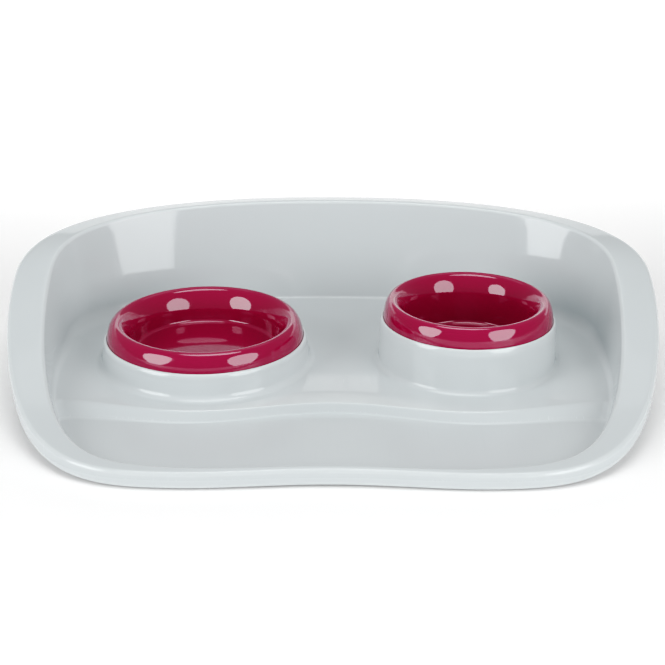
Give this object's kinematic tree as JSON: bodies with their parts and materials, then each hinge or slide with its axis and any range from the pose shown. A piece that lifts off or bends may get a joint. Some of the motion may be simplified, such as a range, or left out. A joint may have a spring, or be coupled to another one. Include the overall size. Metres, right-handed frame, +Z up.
{
  "type": "double pet bowl",
  "caption": "Wide feeding tray with a high splash back, a rolled rim, a front gutter and raised collars that hold lift-out round bowls of different height.",
  "frame": {"origin": "on the floor under the middle of the tray's outline", "axes": "+X to the right along the tray's width, +Y towards the high splash back, +Z up"},
  "size_m": [0.48, 0.3378, 0.091],
  "materials": {
    "tray_plastic": "light cool grey, smooth injection-moulded gloss",
    "bowl_plastic": "crimson, smooth injection-moulded gloss",
    "rubber": "matt anti-slip rubber"
  },
  "bodies": {
    "tray": {"tray": "tray_plastic", "foot_front_left": "rubber", "foot_front_right": "rubber", "foot_rear_left": "rubber", "foot_rear_right": "rubber"},
    "left_bowl": {"left_bowl": "bowl_plastic"},
    "right_bowl": {"right_bowl": "bowl_plastic"}
  },
  "joints": [
    {"name": "left_bowl_lift", "type": "slide", "parent": "tray", "child": "left_bowl", "axis": [0, 0, 1], "range_m": [0, 0.1]},
    {"name": "right_bowl_lift", "type": "slide", "parent": "tray", "child": "right_bowl", "axis": [0, 0, 1], "range_m": [0, 0.1]}
  ]
}
